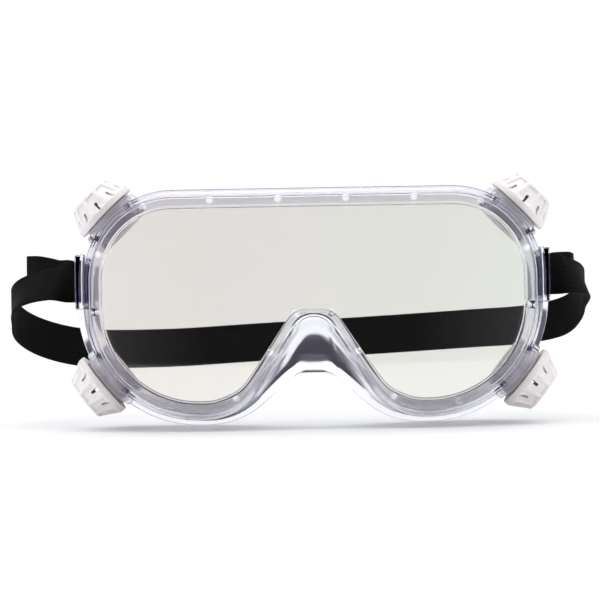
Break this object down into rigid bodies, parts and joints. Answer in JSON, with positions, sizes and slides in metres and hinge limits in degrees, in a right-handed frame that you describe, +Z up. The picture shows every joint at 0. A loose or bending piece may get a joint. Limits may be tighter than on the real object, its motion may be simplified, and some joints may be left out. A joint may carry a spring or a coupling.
{
  "type": "safety goggles",
  "caption": "Clear splash goggles: a soft frame with a nose arch holds a clear lens, fluted ventilation valves on the corners and a black elastic headband.",
  "frame": {"origin": "on the surface the goggles stand on, under the middle of their box", "axes": "+X towards the wearer's left, +Y back towards the head, +Z up"},
  "size_m": [0.2178, 0.1208, 0.0898],
  "materials": {
    "clear_vinyl": "clear soft vinyl, glossy, faintly violet where it is thick",
    "clear_polycarbonate": "clear hard sheet with a polished surface",
    "white_plastic": "semi-gloss white polypropylene with a pale pink cast",
    "black_elastic": "woven black elastic webbing with lengthwise ribs"
  },
  "bodies": {
    "goggles": {"goggle_frame": "clear_vinyl", "lens": "clear_polycarbonate", "vent_seat_upper_left": "white_plastic", "vent_seat_upper_right": "white_plastic", "vent_seat_lower_right": "white_plastic", "vent_seat_lower_left": "white_plastic", "vent_baffle_upper_left": "white_plastic", "vent_baffle_upper_right": "white_plastic", "vent_baffle_lower_right": "white_plastic", "vent_baffle_lower_left": "white_plastic", "strap_end_left": "black_elastic", "strap_end_right": "black_elastic"},
    "headband": {"headband": "black_elastic"},
    "cap_upper_left": {"vent_cap_upper_left": "white_plastic"},
    "cap_upper_right": {"vent_cap_upper_right": "white_plastic"},
    "cap_lower_right": {"vent_cap_lower_right": "white_plastic"},
    "cap_lower_left": {"vent_cap_lower_left": "white_plastic"}
  },
  "joints": [
    {"name": "headband_swing", "type": "hinge", "parent": "goggles", "child": "headband", "pos_m": [0.00506, -0.0099, 0.0529], "axis": [1, 0, 0], "range_deg": [-15, 60]},
    {"name": "cap_turn_upper_left", "type": "hinge", "parent": "goggles", "child": "cap_upper_left", "pos_m": [0.07769, -0.0344, 0.07663], "axis": [0.7071, 0, 0.7071], "continuous": true},
    {"name": "cap_turn_upper_right", "type": "hinge", "parent": "goggles", "child": "cap_upper_right", "pos_m": [-0.06757, -0.0344, 0.07663], "axis": [-0.7071, 0, 0.7071], "continuous": true},
    {"name": "cap_turn_lower_right", "type": "hinge", "parent": "goggles", "child": "cap_lower_right", "pos_m": [-0.06943, -0.0344, 0.01765], "axis": [-0.7826, 0, -0.6225], "continuous": true},
    {"name": "cap_turn_lower_left", "type": "hinge", "parent": "goggles", "child": "cap_lower_left", "pos_m": [0.07955, -0.0344, 0.01765], "axis": [0.7826, 0, -0.6225], "continuous": true}
  ]
}
